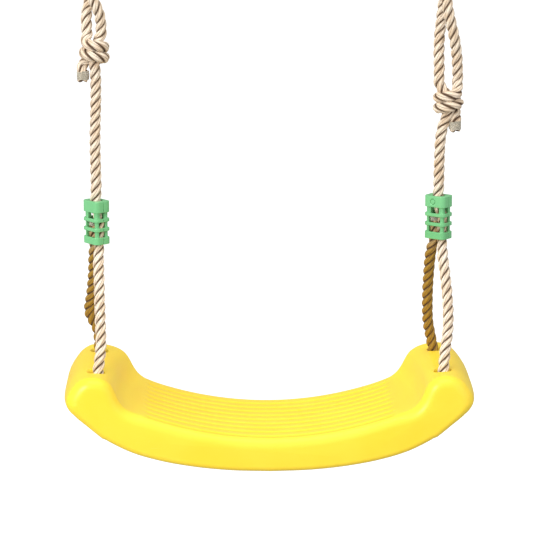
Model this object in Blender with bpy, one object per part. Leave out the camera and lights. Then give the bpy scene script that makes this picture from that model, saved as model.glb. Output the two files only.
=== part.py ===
"""Child's swing: a blow-moulded seat slung on two laid ropes, each with a moulded rope clamp and a steel ring.

Metres, +Z up, +X to the sitter's right as seen from the front, -Y towards the viewer. The origin is the middle
of the hook line: the line through the two points where the rings bear on their hooks. Everything hangs below it.
"""

import math

import bmesh
import bpy
from mathutils import Matrix, Vector

MM = 0.001
GAP = 0.3 * MM  # clearance kept between pieces that touch

# Seat: lengths are measured from the middle of its top surface
SEAT_Z = -490 * MM  # height of that middle below the hook line
SEAT_HALF_DEPTH = 82 * MM
SEAT_ARC_RADIUS = 350 * MM  # sitting surface, side to side
SEAT_ARC_HALF_WIDTH = 124 * MM  # where the arc ends and the foot of the lobe starts
TOP_EDGE_RADIUS = 10 * MM
BOTTOM_EDGE_RADIUS = 6 * MM
END_BOW = 5 * MM  # how far the ends bow outwards between the front and the rear edge
END_BOW_FROM_X = 165 * MM
WALL = 3 * MM
LOBE = [  # the lobe's outline (x, z) in mm, from the foot of its inner wall over the top and round the end
    (133, 25.2), (140.5, 30), (146, 37.5), (149.5, 45), (153.5, 52), (159.5, 57.2), (168, 60.6),
    (178, 61.8), (187.5, 60.4), (196, 55.5), (202.2, 48.2), (206, 41), (207, 35),
]
UNDERSIDE = [  # the underside's outline, from the end of the lobe back to the middle
    (204.4, 28.8), (197.5, 22), (183.5, 11.6), (164.5, -1.4), (139.5, -14.4), (109, -23.8), (81, -29.2), (41.5, -33.6),
]
SEAT_THICKNESS = 35 * MM
SPLAY = 6 * MM  # how far the lobes' inner walls spread from the middle to the front edge
SPLAY_X = 145 * MM
SPLAY_WIDTH = 18 * MM
GROOVES = 9
GROOVE_PITCH = 16 * MM
GROOVE_REAR_Y = 57 * MM
GROOVE_HALF_WIDTH = 1.6 * MM
GROOVE_DEPTH = 1.1 * MM
GROOVE_END_X = 127 * MM  # the grooves fade out over GROOVE_FADE before this
GROOVE_FADE = 7 * MM
HOLE_X = 174 * MM
HOLE_Y = 45 * MM
TUNNEL_RADIUS = 8 * MM
MOUTH_RADIUS = 10.5 * MM
MOUTH_DEPTH = 4 * MM
TROUGH_HALF_WIDTH = 7.2 * MM
TROUGH_ROOF_Z = 21.5 * MM  # above the middle of the seat's surface
TROUGH_HALF_LENGTH = 53 * MM
DRAIN_RADIUS = 1.6 * MM

# Rope
ROPE_RADIUS = 5.75 * MM
SQUEEZED = 0.75  # the rope's radius inside a clamp, as a share of its free radius
RUN_Z = 12.5 * MM  # centreline under the seat, above the middle of its surface
RUN_BEND = 13 * MM

# Outer shape of the knot in each rope: height and radius, in mm, from its underside to its top
KNOT_PROFILE = [(-16, 7.5), (-14, 10.5), (-9, 13.4), (-1, 14.6), (8, 15), (13, 14.8), (16, 13.5)]
KNOT_DEPTH_SHARE = 0.86

# Steel rings
RING_RADIUS = 26 * MM  # at the middle of the wire
WIRE_RADIUS = 4 * MM
RING_CENTRE_Z = WIRE_RADIUS - RING_RADIUS  # the hook bears on the ring's top at height 0
WIRE_Z = RING_CENTRE_Z - RING_RADIUS  # middle of the wire that the rope hangs on
LOOP_RADIUS = WIRE_RADIUS + ROPE_RADIUS + GAP

# Rope clamps, in their own frame: u along the line through the two legs, v across, z down from the top face
CLAMP_HEIGHT = 44 * MM
BAND_HALF_U, BAND_HALF_V, BAND_CORNER = 12.4 * MM, 9.4 * MM, 4.8 * MM
CORE_HALF_U, CORE_HALF_V, CORE_CORNER = 10.5 * MM, 7.6 * MM, 4 * MM
BORE_HALF_U, BORE_HALF_V, BORE_CORNER = 9.3 * MM, 6.3 * MM, 3.4 * MM
COLLAR_HEIGHT = 11.4 * MM
WINDOW_HEIGHT = 6.2 * MM
BAND_HEIGHT = 3.4 * MM
WINDOW_ROWS = 3
WINDOW_HALF_U, WINDOW_HALF_V = 6.8 * MM, 4.7 * MM
LEG_U = 4.65 * MM  # each leg's distance from the clamp's middle
RIVET_U = -1.1 * MM
RIVET_Z = -5.8 * MM
RIVET_SHANK, RIVET_HEAD = 1.5 * MM, 2.6 * MM
RIVET_HEAD_HEIGHT = 1.2 * MM
RIVET_END_V = -6.6 * MM  # the shank ends in the collar's wall, short of the rope
POCKET_V = -8 * MM
WHIPPING_LENGTH = 5 * MM
TAIL_LENGTH = 9 * MM
TAIL_OUT = 12.7 * MM  # how far outside the main rope each knot's tail hangs
WHIPPING_TOP_Z = -21 * MM  # the clamped end of the rope, below the clamp's top

# The seat tilts where the single rope enters the clamps
TILT_Z = -252 * MM
TILT_GAP = 3.4 * MM  # between the upper rope's end and the cradle's

# Each side's own sizes: clamp place and turn, knot place, how far the rope leans sideways in the mouths of its
# front and rear tunnels, and the routes its rope takes (mm)
SIDES = {
    "left": {
        "ring_x": -176,
        "clamp": (-174, 0, -262),
        "turn": 128,
        "front_is": -1,
        "knot": (-174, 0, -114),
        "knot_leg": 7,
        "lean": (1.2, -0.8),
        "upper": [(-173, 0), (-173, -150), (-174.5, -200)],
        "front": [(-172, -8, -320), (-171.4, -17, -345), (-170.4, -28, -378), (-169.6, -37.5, -404)],
        "rear": [(-177.4, 7, -318), (-178.6, 15, -340), (-181.2, 25, -364), (-184, 34, -385), (-176, 41, -406)],
    },
    "right": {
        "ring_x": 176,
        "clamp": (172, 0, -258),
        "turn": -38,
        "front_is": 1,
        "knot": (180.5, 0, -165.5),
        "knot_leg": 9,
        "lean": (1.2, -1.8),
        "upper": [(174.8, 0), (173.2, -200), (172.2, -225)],
        "front": [(176, -8, -316), (178.4, -16, -338), (180.6, -25, -364), (180.4, -34, -390), (177, -42, -412)],
        "rear": [(165.6, 8, -316), (164, 17, -342), (163.8, 27, -372), (165.6, 37, -400), (169, 43, -416)],
    },
}


def clear_scene():
    """Start from an empty scene."""
    for obj in list(bpy.data.objects):
        bpy.data.objects.remove(obj, do_unlink=True)


def material(name, colour, roughness, metallic=0.0):
    """A plain Principled material."""
    mat = bpy.data.materials.new(name)
    mat.use_nodes = True
    shader = mat.node_tree.nodes["Principled BSDF"]
    shader.inputs["Base Color"].default_value = (*colour, 1)
    shader.inputs["Roughness"].default_value = roughness
    shader.inputs["Metallic"].default_value = metallic
    return mat


def add_object(name, data, mat=None):
    """Link a mesh or curve into the scene under this name."""
    obj = bpy.data.objects.new(name, data)
    bpy.context.scene.collection.objects.link(obj)
    if mat:
        data.materials.append(mat)
    return obj


def as_cutter(obj):
    """Mark an object as a cutter, which isn't part of the model."""
    obj.hide_render = True
    obj.display_type = "WIRE"
    return obj


def cut(obj, cutter, operation="DIFFERENCE"):
    """Add a Boolean modifier to obj."""
    modifier = obj.modifiers.new(cutter.name, "BOOLEAN")
    modifier.operation = operation
    modifier.object = cutter
    return obj


def loft(name, rings, mat=None):
    """A closed body through rings of points, each with the same count, capped at both ends."""
    bm = bmesh.new()
    loops = [[bm.verts.new(point) for point in ring] for ring in rings]
    count = len(loops[0])
    for below, above in zip(loops, loops[1:]):
        for i in range(count):
            j = (i + 1) % count
            bm.faces.new((below[i], below[j], above[j], above[i]))
    bm.faces.new(list(reversed(loops[0])))
    bm.faces.new(loops[-1])
    bmesh.ops.recalc_face_normals(bm, faces=bm.faces)
    mesh = bpy.data.meshes.new(name)
    bm.to_mesh(mesh)
    bm.free()
    mesh.shade_smooth()
    mesh.set_sharp_from_angle(angle=math.radians(35))
    return add_object(name, mesh, mat)


def cylinder(name, radius, low, high, sides=16, mat=None):
    """A capped cylinder from point low to point high."""
    low, high = Vector(low), Vector(high)
    turn = (high - low).to_track_quat("Z", "Y")
    circle = [Vector((math.cos(a), math.sin(a), 0)) * radius for a in angles(sides)]
    return loft(name, [[end + turn @ p for p in circle] for end in (low, high)], mat)


def angles(count):
    """Evenly spaced angles round a circle."""
    return [2 * math.pi * i / count for i in range(count)]


def box(name, low, high):
    """An upright box between two corners."""
    (x0, y0, z0), (x1, y1, z1) = low, high
    base = [(x0, y0), (x1, y0), (x1, y1), (x0, y1)]
    return loft(name, [[(x, y, z) for x, y in base] for z in (z0, z1)])


def rounded_rectangle(half_u, half_v, corner, steps=4):
    """Points of a rounded rectangle in the plane, anticlockwise."""
    points = []
    for k, (su, sv) in enumerate([(1, 1), (-1, 1), (-1, -1), (1, -1)]):
        for i in range(steps + 1):
            a = math.pi / 2 * (k + i / steps)
            u = su * (half_u - corner) + corner * math.cos(a)
            v = sv * (half_v - corner) + corner * math.sin(a)
            points.append((u, v))
    return points


def smooth_points(keys, spacing):
    """Points about a spacing apart on a smooth curve (Catmull-Rom) through the key points."""
    keys = [Vector(k) for k in keys]
    padded = [2 * keys[0] - keys[1], *keys, 2 * keys[-1] - keys[-2]]
    points = [keys[0]]
    for p0, p1, p2, p3 in zip(padded, padded[1:], padded[2:], padded[3:]):
        steps = max(1, round((p2 - p1).length / spacing))
        for i in range(1, steps + 1):
            t = i / steps
            straight = 2 * p1 + (p2 - p0) * t
            bend = (2 * p0 - 5 * p1 + 4 * p2 - p3) * t * t
            twist = (3 * p1 - p0 - 3 * p2 + p3) * t * t * t
            points.append((straight + bend + twist) / 2)
    return points


# ---------------------------------------------------------------- seat


def half_outline():
    """The seat's outline from the middle of its top to the middle of its underside, x >= 0, in metres."""
    steps = 8
    arc = []
    for i in range(steps):
        x = SEAT_ARC_HALF_WIDTH * i / steps
        arc.append(Vector((x, x * x / (2 * SEAT_ARC_RADIUS))))
    last = SEAT_ARC_HALF_WIDTH
    keys = [(last, last * last / (2 * SEAT_ARC_RADIUS))]
    keys += [(x * MM, z * MM) for x, z in LOBE + UNDERSIDE]
    keys.append((0, -SEAT_THICKNESS))
    return arc + smooth_points(keys, 14 * MM)


def outline():
    """The whole outline as (x, z), clockwise seen from the front, starting in the middle of the top."""
    right = half_outline()
    left = [Vector((-p.x, p.y)) for p in reversed(right[1:-1])]
    return right + left


def inward_normals(points):
    """Unit normals that point into the seat's material."""
    normals = []
    for i, point in enumerate(points):
        along = (points[(i + 1) % len(points)] - points[i - 1]).normalized()
        normals.append(Vector((along.y, -along.x)))
    return normals


def ease(value):
    """A smooth step from 0 to 1, level before 0 and after 1."""
    t = min(1, max(0, value))
    return t * t * (3 - 2 * t)


def edge_radius(point):
    """Radius of the front and rear edges: middling on the top, small on the underside."""
    top_share = ease((point.y - (point.x / HOLE_X) ** 2 * 30 * MM + 12 * MM) / (14 * MM) + 0.5)
    return BOTTOM_EDGE_RADIUS + (TOP_EDGE_RADIUS - BOTTOM_EDGE_RADIUS) * top_share


def plan_shift(x, y):
    """Sideways shift of a point at x on the row at y: the inner walls spread forwards, the ends bow outwards."""
    reach = math.exp(-(((abs(x) - SPLAY_X) / SPLAY_WIDTH) ** 2))
    across = y / SEAT_HALF_DEPTH
    bow = END_BOW * across ** 4 * ease((abs(x) - END_BOW_FROM_X) / (40 * MM))
    return (1 if x > 0 else -1) * (-SPLAY * reach * across - bow)


def groove_depth(x, y_share):
    """How deep a groove is cut at x; y_share is 1 on its bottom line and 0 at its edges."""
    fade = min(1, max(0, (GROOVE_END_X - abs(x)) / GROOVE_FADE))
    return GROOVE_DEPTH * fade * y_share


def seat_rows(with_grooves):
    """The rows of the seat from rear to front: (y, edge turn 0..1, groove share)."""
    turns = [0, 0.3, 0.6, 1] if with_grooves else [0, 0.5, 1]
    rows = [(None, 1, t, 0) for t in turns]
    if with_grooves:
        for k in range(GROOVES):
            y = GROOVE_REAR_Y - k * GROOVE_PITCH
            rows += [(y + GROOVE_HALF_WIDTH, 0, 1, 0), (y, 0, 1, 1), (y - GROOVE_HALF_WIDTH, 0, 1, 0)]
    else:
        rows.append((0, 0, 1, 0))
    return rows + [(None, -1, t, 0) for t in reversed(turns)]


def seat_solid(name, inset, with_grooves, mat=None):
    """The seat's outer form, or the same form inset by a wall's thickness."""
    points = outline()
    normals = inward_normals(points)
    rings = []
    for y, side, turn, groove in seat_rows(with_grooves):
        ring = []
        for point, normal in zip(points, normals):
            radius = edge_radius(point) - min(inset, 2.5 * MM)
            a = turn * math.pi / 2
            depth = inset + (radius * (1 - math.sin(a)) if side else 0)
            py = side * (SEAT_HALF_DEPTH - inset - radius * (1 - math.cos(a))) if side else y
            x = point.x + normal.x * depth
            z = point.y + normal.y * depth
            if normal.y < -0.5:
                z -= groove_depth(point.x, groove)
            ring.append((x + plan_shift(x, py), py, z + SEAT_Z))
        rings.append(ring)
    return loft(name, rings, mat)


def hole_places():
    """The four rope holes, as (x, y)."""
    return [(sx * HOLE_X, sy * HOLE_Y) for sx in (-1, 1) for sy in (-1, 1)]


def seat(mat):
    """The hollow seat with its four rope tunnels, the two troughs under it and its drain hole."""
    shell = seat_solid("seat_shell", 0, True, mat)
    cavity = as_cutter(seat_solid("cavity", WALL, False))
    for k, (x, y) in enumerate(hole_places()):
        post = cylinder(f"post_{k}", TUNNEL_RADIUS + WALL, (x, y, SEAT_Z - 60 * MM), (x, y, SEAT_Z + 80 * MM))
        cut(cavity, as_cutter(post))
    for side in (-1, 1):
        half = TROUGH_HALF_WIDTH + WALL
        low = (side * HOLE_X - half, -TROUGH_HALF_LENGTH - WALL, SEAT_Z - 60 * MM)
        high = (side * HOLE_X + half, TROUGH_HALF_LENGTH + WALL, SEAT_Z + TROUGH_ROOF_Z + WALL)
        cut(cavity, as_cutter(box(f"trough_wall_{side}", low, high)))
    cut(shell, cavity)
    for k, (x, y) in enumerate(hole_places()):
        tunnel = [
            (TUNNEL_RADIUS, -60 * MM),
            (TUNNEL_RADIUS, 61 * MM - MOUTH_DEPTH),
            (MOUTH_RADIUS, 62 * MM),
            (MOUTH_RADIUS + 2 * MM, 70 * MM),
        ]
        rings = [[(x + r * math.cos(a), y + r * math.sin(a), SEAT_Z + z) for a in angles(16)] for r, z in tunnel]
        cut(shell, as_cutter(loft(f"tunnel_{k}", rings)))
    for side in (-1, 1):
        low = (side * HOLE_X - TROUGH_HALF_WIDTH, -TROUGH_HALF_LENGTH, SEAT_Z - 55 * MM)
        high = (side * HOLE_X + TROUGH_HALF_WIDTH, TROUGH_HALF_LENGTH, SEAT_Z + TROUGH_ROOF_Z)
        cut(shell, as_cutter(box(f"trough_{side}", low, high)))
    drain = cylinder("drain", DRAIN_RADIUS, (0, 0, SEAT_Z - 50 * MM), (0, 0, SEAT_Z - 20 * MM), 12)
    cut(shell, as_cutter(drain))
    return shell


# ---------------------------------------------------------------- steel rings


def steel_ring(side, mat):
    """One welded ring, standing in the plane of the ropes."""
    centre = Vector((SIDES[side]["ring_x"] * MM, 0, RING_CENTRE_Z))
    bm = bmesh.new()
    loops = []
    for a in angles(32):
        out = Vector((math.cos(a), 0, math.sin(a)))
        loop = []
        for b in angles(10):
            offset = out * math.cos(b) + Vector((0, 1, 0)) * math.sin(b)
            loop.append(bm.verts.new(centre + out * RING_RADIUS + offset * WIRE_RADIUS))
        loops.append(loop)
    for i, loop in enumerate(loops):
        following = loops[(i + 1) % len(loops)]
        for k in range(len(loop)):
            j = (k + 1) % len(loop)
            bm.faces.new((loop[k], loop[j], following[j], following[k]))
    bmesh.ops.recalc_face_normals(bm, faces=bm.faces)
    mesh = bpy.data.meshes.new(f"{side}_ring")
    bm.to_mesh(mesh)
    bm.free()
    mesh.shade_smooth()
    return add_object(f"{side}_ring", mesh, mat)


# ---------------------------------------------------------------- ropes


def rope_tube(name, points, mat, radii=None):
    """A plain round tube along the points, with filled ends."""
    curve = bpy.data.curves.new(name, "CURVE")
    curve.dimensions = "3D"
    curve.bevel_depth = ROPE_RADIUS
    curve.bevel_resolution = 3
    curve.use_fill_caps = True
    spline = curve.splines.new("POLY")
    spline.points.add(len(points) - 1)
    for k, point in enumerate(points):
        spline.points[k].co = (*point, 1)
        spline.points[k].radius = radii[k] if radii else 1
    return add_object(name, curve, mat)


def loop_route(side):
    """From one leg on the knot, up over the ring's lower wire, and down the other leg to the knot."""
    own = SIDES[side]
    knot = Vector(own["knot"]) * MM
    top_of_knot = knot.z + KNOT_PROFILE[-1][0] * MM + GAP
    ring_x = own["ring_x"] * MM
    leg = [Vector((knot.x + own["knot_leg"] * MM, 0, top_of_knot))]
    start = top_of_knot + 4 * MM
    steps = 6
    for i in range(steps):
        t = i / steps
        eased = t * t * (3 - 2 * t)
        turn = (1 - eased) * math.pi / 2
        spread = own["knot_leg"] * MM * (1 - eased) + LOOP_RADIUS * eased
        x = knot.x + (ring_x - knot.x) * eased
        z = start + (WIRE_Z - start) * t
        leg.append(Vector((x + spread * math.sin(turn), -spread * math.cos(turn), z)))
    other = []
    for k, point in enumerate(leg):
        t = max(0, k - 1) / steps
        centre_x = knot.x + (ring_x - knot.x) * t * t * (3 - 2 * t)
        other.append(Vector((2 * centre_x - point.x, -point.y, point.z)))
    over = []
    for i in range(9):
        a = math.pi * i / 8
        over.append(Vector((ring_x, -LOOP_RADIUS * math.cos(a), WIRE_Z + LOOP_RADIUS * math.sin(a))))
    return leg + over + list(reversed(other))


def knot(side, mat):
    """The knot's outer shape as one plain closed solid."""
    centre = Vector(SIDES[side]["knot"]) * MM
    rings = []
    for z, radius in KNOT_PROFILE:
        ring = []
        for a in angles(20):
            offset = Vector((math.cos(a) * radius, math.sin(a) * radius * KNOT_DEPTH_SHARE, z)) * MM
            ring.append(centre + offset)
        rings.append(ring)
    return loft(f"{side}_rope_knot", rings, mat)


def upper_route(side):
    """The single rope from under the knot down to the clamp."""
    own = SIDES[side]
    under_knot = (own["knot"][2] + KNOT_PROFILE[0][0]) * MM - GAP
    keys = [Vector((own["upper"][0][0] * MM, 0, under_knot))]
    keys += [Vector((x * MM, 0, z * MM)) for x, z in own["upper"][1:] if z * MM < under_knot - 10 * MM]
    keys.append(Vector((own["clamp"][0] * MM, 0, TILT_Z + 0.15 * TILT_GAP)))
    return smooth_points(keys, 26 * MM)


def clamp_frame(side):
    """The matrix that takes the clamp's own u, v, z to the world."""
    own = SIDES[side]
    place = Matrix.Translation(Vector(own["clamp"]) * MM)
    return place @ Matrix.Rotation(math.radians(own["turn"]), 4, "Z")


def cradle_route(side):
    """The rope from the clamp's top down its front leg, under the seat and up its rear leg into the clamp.

    Returns the points and each point's share of the rope's free radius.
    """
    own = SIDES[side]
    frame = clamp_frame(side)
    sign = own["front_is"]
    top = Vector((own["clamp"][0] * MM, 0, TILT_Z - 0.85 * TILT_GAP))
    entry = frame @ Vector((0, 0, -COLLAR_HEIGHT - GAP))
    front_in = [frame @ Vector((sign * LEG_U, 0, z)) for z in (-19.5 * MM, -32 * MM, -CLAMP_HEIGHT - 1.5 * MM)]
    rear_in = [frame @ Vector((-sign * LEG_U, 0, z)) for z in (-CLAMP_HEIGHT - 1.5 * MM, -34 * MM)]
    rear_end = frame @ Vector((-sign * LEG_U, 0, WHIPPING_TOP_Z - WHIPPING_LENGTH - GAP))
    x = math.copysign(HOLE_X, own["ring_x"])
    front_leg = [Vector(p) * MM for p in own["front"]]
    rear_leg = [Vector(p) * MM for p in reversed(own["rear"])]
    under = [
        Vector((x + own["lean"][0] * MM, -HOLE_Y, SEAT_Z + 58 * MM)),
        Vector((x, -HOLE_Y, SEAT_Z + 42 * MM)),
        *under_seat(x),
        Vector((x, HOLE_Y, SEAT_Z + 42 * MM)),
        Vector((x + own["lean"][1] * MM, HOLE_Y, SEAT_Z + 58 * MM)),
    ]
    keys = [top, entry, *front_in, *front_leg, *under, *rear_leg, *rear_in, rear_end]
    tight = [1, 1] + [SQUEEZED] * len(front_in) + [1] * (len(front_leg) + len(under) + len(rear_leg))
    tight += [SQUEEZED] * (len(rear_in) + 1)
    points = smooth_points(keys, 24 * MM)
    shares = []
    for point in points:
        nearest = min(range(len(keys)), key=lambda k: (keys[k] - point).length)
        shares.append(tight[nearest])
    return points, shares


def under_seat(x):
    """The bend out of the front tunnel, the run along the trough and the bend into the rear tunnel."""
    bend = []
    for i in range(5):
        a = math.pi / 2 * i / 4
        y = -HOLE_Y + RUN_BEND * (1 - math.cos(a))
        z = RUN_Z + RUN_BEND * (1 - math.sin(a))
        bend.append(Vector((x, y, SEAT_Z + z)))
    return bend + [Vector((x, -p.y, p.z)) for p in reversed(bend)]


def whippings(side, mat):
    """The bound ends of the rope: one inside the clamp, one under the knot."""
    own = SIDES[side]
    frame = clamp_frame(side)
    u = -own["front_is"] * LEG_U
    high = frame @ Vector((u, 0, WHIPPING_TOP_Z))
    low = frame @ Vector((u, 0, WHIPPING_TOP_Z - WHIPPING_LENGTH))
    cylinder(f"{side}_clamp_whipping", ROPE_RADIUS * SQUEEZED, low, high, 12, mat)
    x = own["upper"][0][0] * MM + math.copysign(TAIL_OUT, own["ring_x"])
    top = (own["knot"][2] + KNOT_PROFILE[0][0]) * MM - GAP
    cylinder(f"{side}_tail_whipping", ROPE_RADIUS, (x, 0, top - TAIL_LENGTH), (x, 0, top), 12, mat)


# ---------------------------------------------------------------- rope clamps


def clamp_levels():
    """The clamp's outline from top to bottom: (height, is it a band)."""
    levels = [(0, True), (-COLLAR_HEIGHT, True)]
    z = -COLLAR_HEIGHT
    for row in range(WINDOW_ROWS):
        levels += [(z, False), (z - WINDOW_HEIGHT, False)]
        z -= WINDOW_HEIGHT
        bottom = -CLAMP_HEIGHT if row == WINDOW_ROWS - 1 else z - BAND_HEIGHT
        levels += [(z, True), (bottom, True)]
        z = bottom
    return levels


def clamp_half(side, name, facing, mat):
    """One half of a clamp; facing -1 is the half that takes the rivet's head."""
    frame = clamp_frame(side)
    band = rounded_rectangle(BAND_HALF_U, BAND_HALF_V, BAND_CORNER)
    core = rounded_rectangle(CORE_HALF_U, CORE_HALF_V, CORE_CORNER)
    rings = [[(u, v, z) for u, v in (band if is_band else core)] for z, is_band in clamp_levels()]
    half = loft(f"{side}_clamp_{name}", rings, mat)
    cutters = clamp_cutters(f"{side}_{name}", facing)
    for cutter in cutters:
        cut(half, as_cutter(cutter))
    for obj in [half, *cutters]:
        obj.matrix_world = frame
    return half


def clamp_cutters(name, facing):
    """Everything cut out of a clamp half: rope bore, collar bore, windows, the rivet's place, and the other half."""
    bore = rounded_rectangle(BORE_HALF_U, BORE_HALF_V, BORE_CORNER)
    depths = (-COLLAR_HEIGHT, -CLAMP_HEIGHT - MM)
    cutters = [loft(f"{name}_bore", [[(u, v, z) for u, v in bore] for z in depths])]
    collar_bore = ROPE_RADIUS + 2 * GAP
    cutters.append(cylinder(f"{name}_collar_bore", collar_bore, (0, 0, -COLLAR_HEIGHT - MM), (0, 0, MM)))
    z = -COLLAR_HEIGHT - WINDOW_HEIGHT
    for row in range(WINDOW_ROWS):
        low, high = z + 0.01 * MM, z + WINDOW_HEIGHT - 0.01 * MM
        wide = BAND_HALF_U + MM
        deep = BAND_HALF_V + MM
        cutters.append(box(f"{name}_window_{row}", (-WINDOW_HALF_U, -deep, low), (WINDOW_HALF_U, deep, high)))
        cutters.append(box(f"{name}_end_window_{row}", (-wide, -WINDOW_HALF_V, low), (wide, WINDOW_HALF_V, high)))
        z -= WINDOW_HEIGHT + BAND_HEIGHT
    if facing < 0:
        outside = (RIVET_U, -BAND_HALF_V - MM, RIVET_Z)
        cutters.append(cylinder(f"{name}_rivet_hole", RIVET_SHANK + GAP, outside, (RIVET_U, 0, RIVET_Z), 16))
        cutters.append(cylinder(f"{name}_pocket", RIVET_HEAD + GAP, outside, (RIVET_U, POCKET_V, RIVET_Z), 20))
    far = 20 * MM
    low_v, high_v = (-GAP / 2, far) if facing < 0 else (-far, GAP / 2)
    cutters.append(box(f"{name}_other_half", (-far, low_v, -60 * MM), (far, high_v, 10 * MM)))
    return cutters


def rivet(side, mat):
    """The rivet in the collar of a clamp's face half: a short shank with a flat head in its pocket."""
    head_in = POCKET_V - GAP
    head_out = head_in - RIVET_HEAD_HEIGHT
    outline_steps = [
        (RIVET_HEAD - 0.4 * MM, head_out),
        (RIVET_HEAD, head_out + 0.4 * MM),
        (RIVET_HEAD, head_in),
        (RIVET_SHANK, head_in),
        (RIVET_SHANK, RIVET_END_V),
    ]
    rings = []
    for radius, v in outline_steps:
        rings.append([(RIVET_U + radius * math.cos(a), v, RIVET_Z + radius * math.sin(a)) for a in angles(16)])
    obj = loft(f"{side}_clamp_rivet", rings, mat)
    obj.matrix_world = clamp_frame(side)
    return obj


# ---------------------------------------------------------------- assembly


def main():
    """Build every piece and hang each body from an empty on its joint's axis."""
    clear_scene()
    yellow = material("yellow_polyethylene", (0.90, 0.66, 0.03), 0.4)
    green = material("green_nylon", (0.09, 0.42, 0.12), 0.45)
    steel = material("galvanised_steel", (0.62, 0.63, 0.64), 0.35, 1.0)
    rope = material("laid_rope", (0.68, 0.54, 0.38), 0.85)
    twine = material("whipping_twine", (0.80, 0.74, 0.62), 0.8)
    swing_axis = add_object("swing_axis", None)
    swing_axis.location = (0, 0, WIRE_Z)
    tilt_axis = add_object("tilt_axis", None)
    tilt_axis.location = (0, 0, TILT_Z)
    hung = {swing_axis: [], tilt_axis: [seat(yellow)]}
    for side in SIDES:
        steel_ring(side, steel)
        hung[swing_axis].append(rope_tube(f"{side}_rope_loop", loop_route(side), rope))
        hung[swing_axis].append(knot(side, rope))
        hung[swing_axis].append(rope_tube(f"{side}_rope_upper", upper_route(side), rope))
        points, shares = cradle_route(side)
        hung[tilt_axis].append(rope_tube(f"{side}_rope_cradle", points, rope, shares))
        whippings(side, twine)
        hung[tilt_axis].append(clamp_half(side, "face", -1, green))
        hung[tilt_axis].append(clamp_half(side, "back", 1, green))
        hung[tilt_axis].append(rivet(side, green))
        hung[swing_axis].append(bpy.data.objects[f"{side}_tail_whipping"])
        hung[tilt_axis].append(bpy.data.objects[f"{side}_clamp_whipping"])
    bpy.context.view_layer.update()
    for empty, pieces in hung.items():
        for piece in pieces:
            piece.parent = empty
            piece.matrix_parent_inverse = empty.matrix_world.inverted()


main()
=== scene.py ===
"""A child's rope swing: a moulded seat with side lobes, two laid ropes, moulded clamps and hanging rings.

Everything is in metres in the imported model's own frame: +Z up, +X to the right seen from the front, -Y
towards the viewer, and the origin in the middle of the line through the hooks.
"""

import itertools
import logging
import math
from dataclasses import dataclass, field
from enum import Enum

import bmesh
import bpy
import numpy as np
from mathutils import Matrix, Vector


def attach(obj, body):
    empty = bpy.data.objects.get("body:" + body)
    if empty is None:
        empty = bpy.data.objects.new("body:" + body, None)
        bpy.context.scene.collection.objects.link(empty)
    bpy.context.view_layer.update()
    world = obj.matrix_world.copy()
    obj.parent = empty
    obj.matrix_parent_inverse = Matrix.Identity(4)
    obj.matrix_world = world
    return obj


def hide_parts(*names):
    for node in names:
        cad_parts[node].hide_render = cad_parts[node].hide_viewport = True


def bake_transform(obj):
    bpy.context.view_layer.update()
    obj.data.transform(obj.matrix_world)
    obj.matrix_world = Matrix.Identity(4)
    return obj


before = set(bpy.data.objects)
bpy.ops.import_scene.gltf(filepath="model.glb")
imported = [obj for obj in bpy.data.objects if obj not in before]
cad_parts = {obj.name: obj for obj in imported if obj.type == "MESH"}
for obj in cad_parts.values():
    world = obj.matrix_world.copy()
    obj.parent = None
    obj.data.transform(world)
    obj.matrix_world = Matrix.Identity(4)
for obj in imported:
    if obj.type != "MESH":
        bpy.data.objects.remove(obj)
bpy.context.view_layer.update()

logging.basicConfig(level=logging.INFO, format="%(name)s: %(message)s")
log = logging.getLogger("rope_swing")

MM = 0.001
SEAT_Z = -490 * MM  # middle of the sitting surface
TILT_Z = -252 * MM  # the ropes bend here when the seat tilts
ROPE_RADIUS = 5.75 * MM
WIRE_RADIUS = 4 * MM
RING_RADIUS = 26 * MM
RING_CENTRE_Z = WIRE_RADIUS - RING_RADIUS
WIRE_Z = RING_CENTRE_Z - RING_RADIUS
HOLE_X = 174 * MM
HOLE_Y = 45 * MM

Colour = tuple[float, float, float]


class Body(Enum):
    """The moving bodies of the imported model."""

    RINGS = "rings"
    ROPES = "ropes"
    SEAT = "seat"


class Slot(Enum):
    """The record's material slots."""

    SEAT = "seat_plastic"
    CLAMP = "clamp_plastic"
    STEEL = "steel"
    ROPE = "rope"
    TWINE = "twine"


# ---------------------------------------------------------------- lines and meshes


def eased(value: float) -> float:
    """A smooth step from 0 to 1, level before 0 and after 1."""
    t = min(1.0, max(0.0, value))
    return t * t * (3 - 2 * t)


def smooth_line(keys: np.ndarray, step: float) -> np.ndarray:
    """A smooth curve through key points that are unevenly spaced.

    Args:
        keys: The key points, one per row; columns past the third are carried along.
        step: Spacing of the points returned.

    Returns:
        Points on the curve, one per row.
    """
    gaps = np.linalg.norm(np.diff(keys[:, :3], axis=0), axis=1)
    slopes = np.diff(keys, axis=0) / gaps[:, None]
    inner = (slopes[:-1] * gaps[1:, None] + slopes[1:] * gaps[:-1, None]) / (gaps[1:] + gaps[:-1])[:, None]
    tangents = np.vstack([slopes[:1], inner, slopes[-1:]])
    points = [keys[:1]]
    for k, gap in enumerate(gaps):
        t = np.linspace(0, 1, max(2, round(gap / (step * 0.5))) + 1)[1:, None]
        rise = t * t * (3 - 2 * t)
        leave, arrive = t * (1 - t) ** 2, t * t * (t - 1)
        between = keys[k] * (1 - rise) + keys[k + 1] * rise
        points.append(between + gap * (leave * tangents[k] + arrive * tangents[k + 1]))
    return evenly(np.vstack(points), step)


def evenly(points: np.ndarray, step: float) -> np.ndarray:
    """The same line with its points an equal distance apart, about one step."""
    along = np.concatenate([[0], np.cumsum(np.linalg.norm(np.diff(points[:, :3], axis=0), axis=1))])
    wanted = np.linspace(0, along[-1], max(2, round(along[-1] / step)) + 1)
    return np.stack([np.interp(wanted, along, column) for column in points.T], axis=1)


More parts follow.
